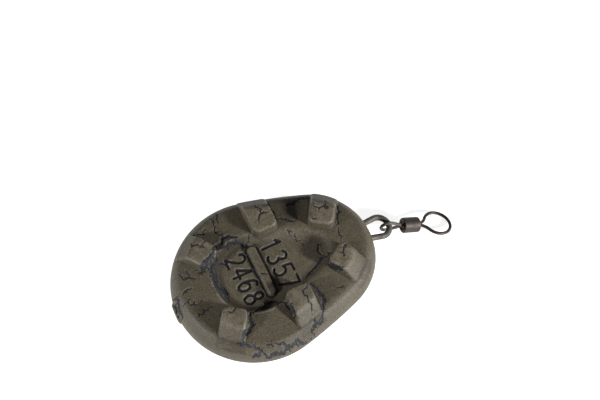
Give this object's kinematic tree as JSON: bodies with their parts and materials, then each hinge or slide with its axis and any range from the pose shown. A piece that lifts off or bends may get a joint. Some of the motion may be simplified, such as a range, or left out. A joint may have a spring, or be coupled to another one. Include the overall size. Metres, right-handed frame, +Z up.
{
  "type": "fishing sinker",
  "caption": "Flat pear-shaped fishing sinker of coated cast lead, with gripping lugs on both faces, a cast-in wire loop and a free barrel swivel",
  "frame": {"origin": "Bottom centre of the bounding box, on the ground that the lugs of one face rest on", "axes": "X along the body from its wide end to the loop and the swivel, Y across the body, Z up through its thickness"},
  "size_m": [0.068, 0.0378, 0.015],
  "materials": {
    "lead": "dull grey cast lead, hidden under the coats",
    "base_coat": "dark slate base coat that shows in the cracks",
    "top_coat": "satin olive crackle coat with a fine speckle",
    "loop_wire": "tarnished olive-grey wire",
    "barrel_metal": "blackened brass, worn bright on its edges",
    "eye_wire": "blackened wire, worn warm on its edges"
  },
  "bodies": {
    "sinker": {"lead_core": "lead", "base_coat": "base_coat", "top_coat": "top_coat", "cast_in_loop": "loop_wire"},
    "small_eye": {"small_eye": "loop_wire"},
    "barrel": {"barrel": "barrel_metal"},
    "large_eye": {"large_eye": "eye_wire"}
  },
  "joints": [
    {"name": "small_eye_swing", "type": "hinge", "parent": "sinker", "child": "small_eye", "pos_m": [0.01902, -0.00051, 0.00623], "axis": [-0.2017, -0.9781, 0.0503], "range_deg": [-104, 130]},
    {"name": "barrel_turn", "type": "hinge", "parent": "small_eye", "child": "barrel", "pos_m": [0.01891, -0.0005, 0.00593], "axis": [0.9201, -0.2069, -0.3325], "continuous": true},
    {"name": "large_eye_turn", "type": "hinge", "parent": "barrel", "child": "large_eye", "pos_m": [0.01891, -0.0005, 0.00593], "axis": [0.9201, -0.2069, -0.3325], "continuous": true}
  ]
}
